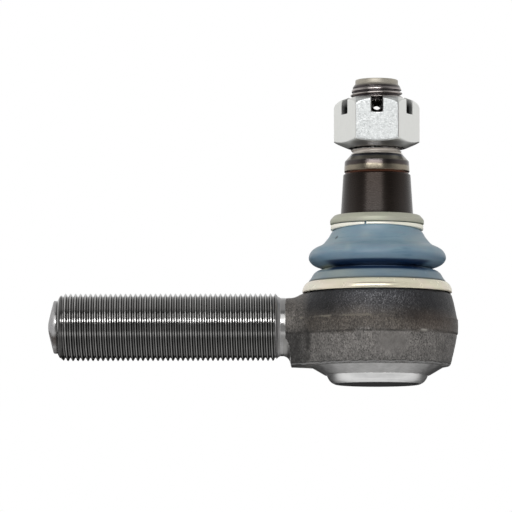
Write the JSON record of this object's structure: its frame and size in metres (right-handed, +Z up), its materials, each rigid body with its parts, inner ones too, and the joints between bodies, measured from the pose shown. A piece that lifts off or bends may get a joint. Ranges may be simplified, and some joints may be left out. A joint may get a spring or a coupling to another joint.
{
  "type": "tie rod end",
  "caption": "Ball joint end for a steering tie rod: socket head with threaded shank, tapered ball stud, dust boot and slotted nut.",
  "frame": {"origin": "centre of the ball, where the shank's axis and the stud's axis cross", "axes": "-X out along the threaded shank, +Z up the ball stud to its threaded end, -Y the face seen in the reference"},
  "size_m": [0.1736, 0.0684, 0.1296],
  "materials": {
    "forged_steel": "forged, dark scale, machined shank",
    "stud_steel": "ground, dark oil film",
    "seat_plastic": "moulded, plain",
    "spring_steel": "blued",
    "cap_steel": "pressed, bright",
    "seal_rubber": "smooth",
    "boot_rubber": "moulded, slight sheen",
    "plated_ring": "pressed, yellow plated",
    "nut_zinc": "zinc plated, fine sparkle"
  },
  "bodies": {
    "housing": {"housing": "forged_steel", "upper_ball_seat": "seat_plastic", "preload_spring": "spring_steel", "end_cap": "cap_steel", "cap_o_ring": "seal_rubber", "boot": "boot_rubber", "boot_lower_ring": "plated_ring"},
    "pressure_cup": {"lower_ball_seat": "seat_plastic"},
    "boot_collar": {"boot_upper_collar": "plated_ring", "boot_upper_clip": "plated_ring"},
    "stud": {"ball_stud": "stud_steel"},
    "nut": {"castle_nut": "nut_zinc"}
  },
  "joints": [
    {"name": "stud_azimuth", "type": "hinge", "parent": "housing", "child": "pressure_cup", "pos_m": [0, 0, 0], "axis": [0, 0, 1], "continuous": true},
    {"name": "stud_tilt", "type": "hinge", "parent": "pressure_cup", "child": "boot_collar", "pos_m": [0, 0, 0], "axis": [1, 0, 0], "range_deg": [-20, 20], "deforming": ["boot"]},
    {"name": "stud_spin", "type": "hinge", "parent": "boot_collar", "child": "stud", "pos_m": [0, 0, 0], "axis": [0, 0, 1], "continuous": true},
    {"name": "nut_turn", "type": "hinge", "parent": "stud", "child": "nut", "pos_m": [0, 0, 0.0862], "axis": [0, 0, 1], "continuous": true}
  ]
}
